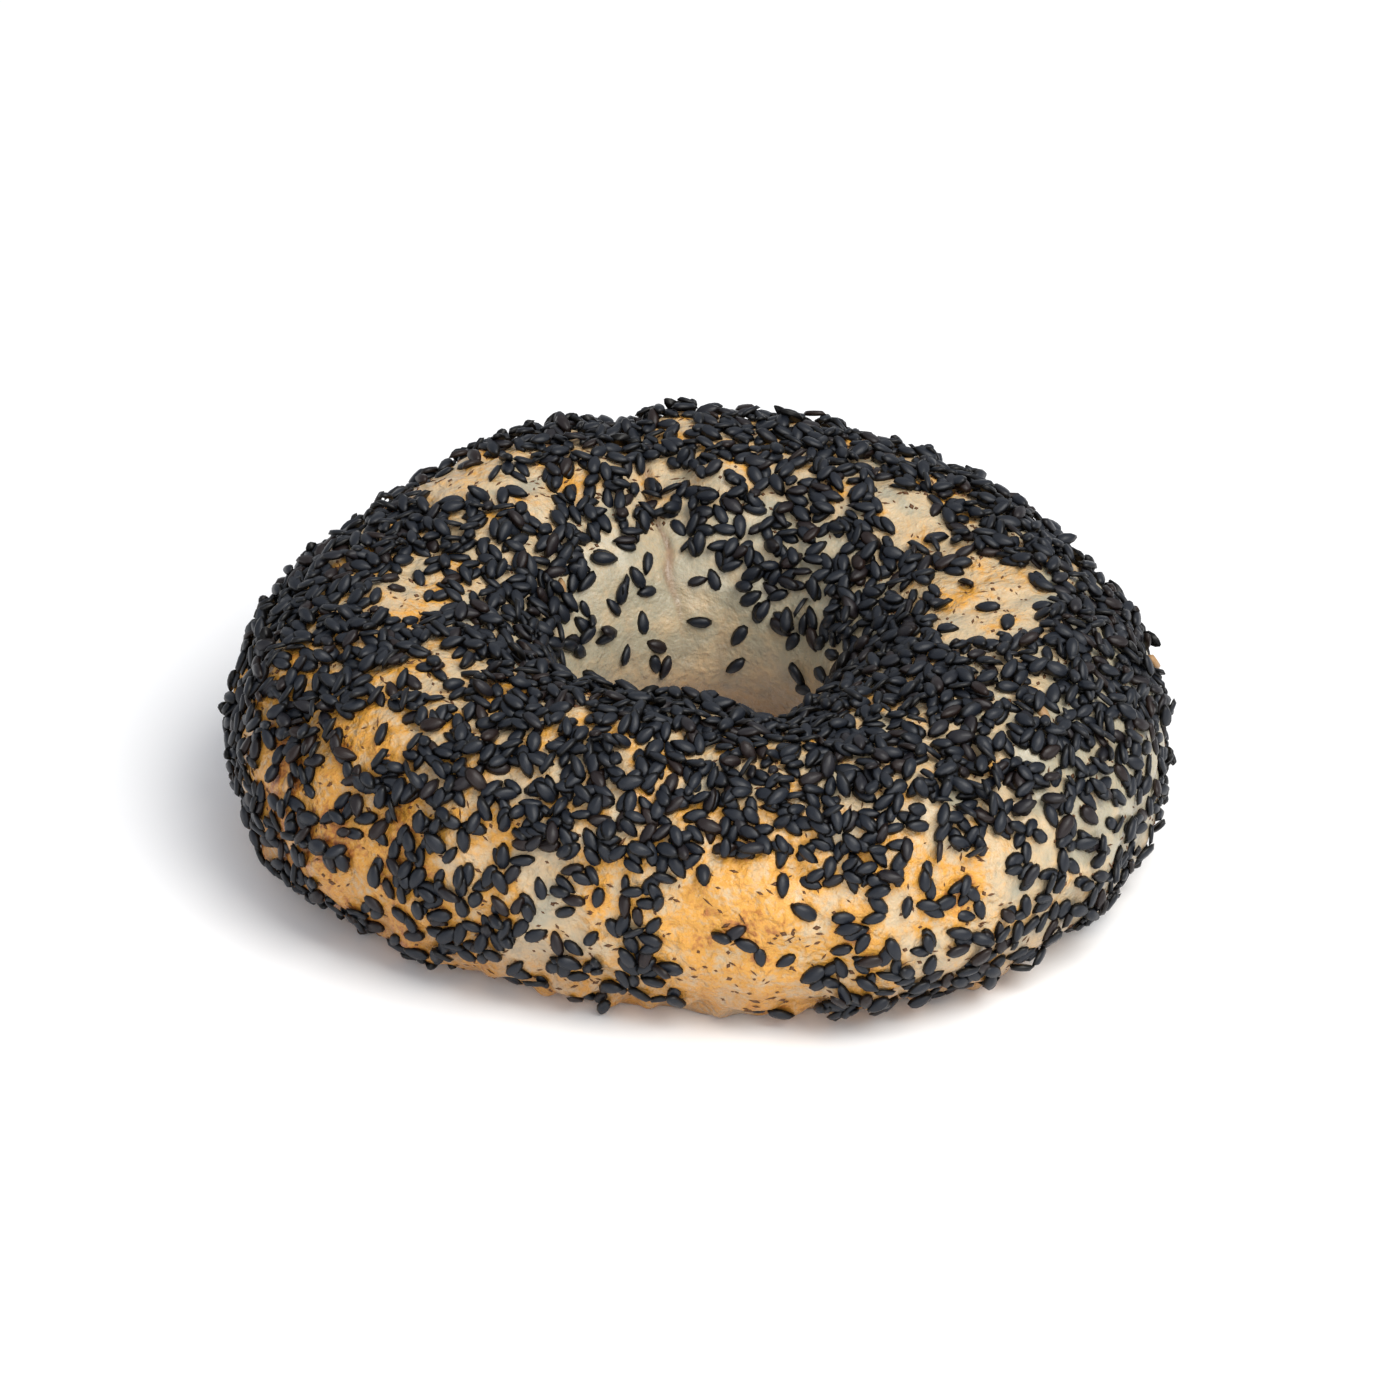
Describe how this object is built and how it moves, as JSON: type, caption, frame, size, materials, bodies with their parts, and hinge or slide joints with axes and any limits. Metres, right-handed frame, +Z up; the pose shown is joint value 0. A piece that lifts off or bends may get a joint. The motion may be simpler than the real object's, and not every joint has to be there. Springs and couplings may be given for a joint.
{
  "type": "sesame bagel",
  "caption": "Ring-shaped bagel with a rounded, uneven top, a flat baked foot and an open hole, its crust covered with black sesame seeds.",
  "frame": {"origin": "on the plane of the flat foot, under the middle of the outline seen from above", "axes": "+Z up out of the hole, +X along the widest way across the ring, -Y the front, where the crust is barest of seeds"},
  "size_m": [0.1203, 0.1151, 0.0373],
  "materials": {
    "baked_crust": "boiled and baked dough crust, golden to cream, half glossy",
    "black_sesame": "dry black sesame seed, matt; carried by the pieces that the picture adds"
  },
  "bodies": {
    "root": {"bagel": "baked_crust"}
  },
  "joints": []
}
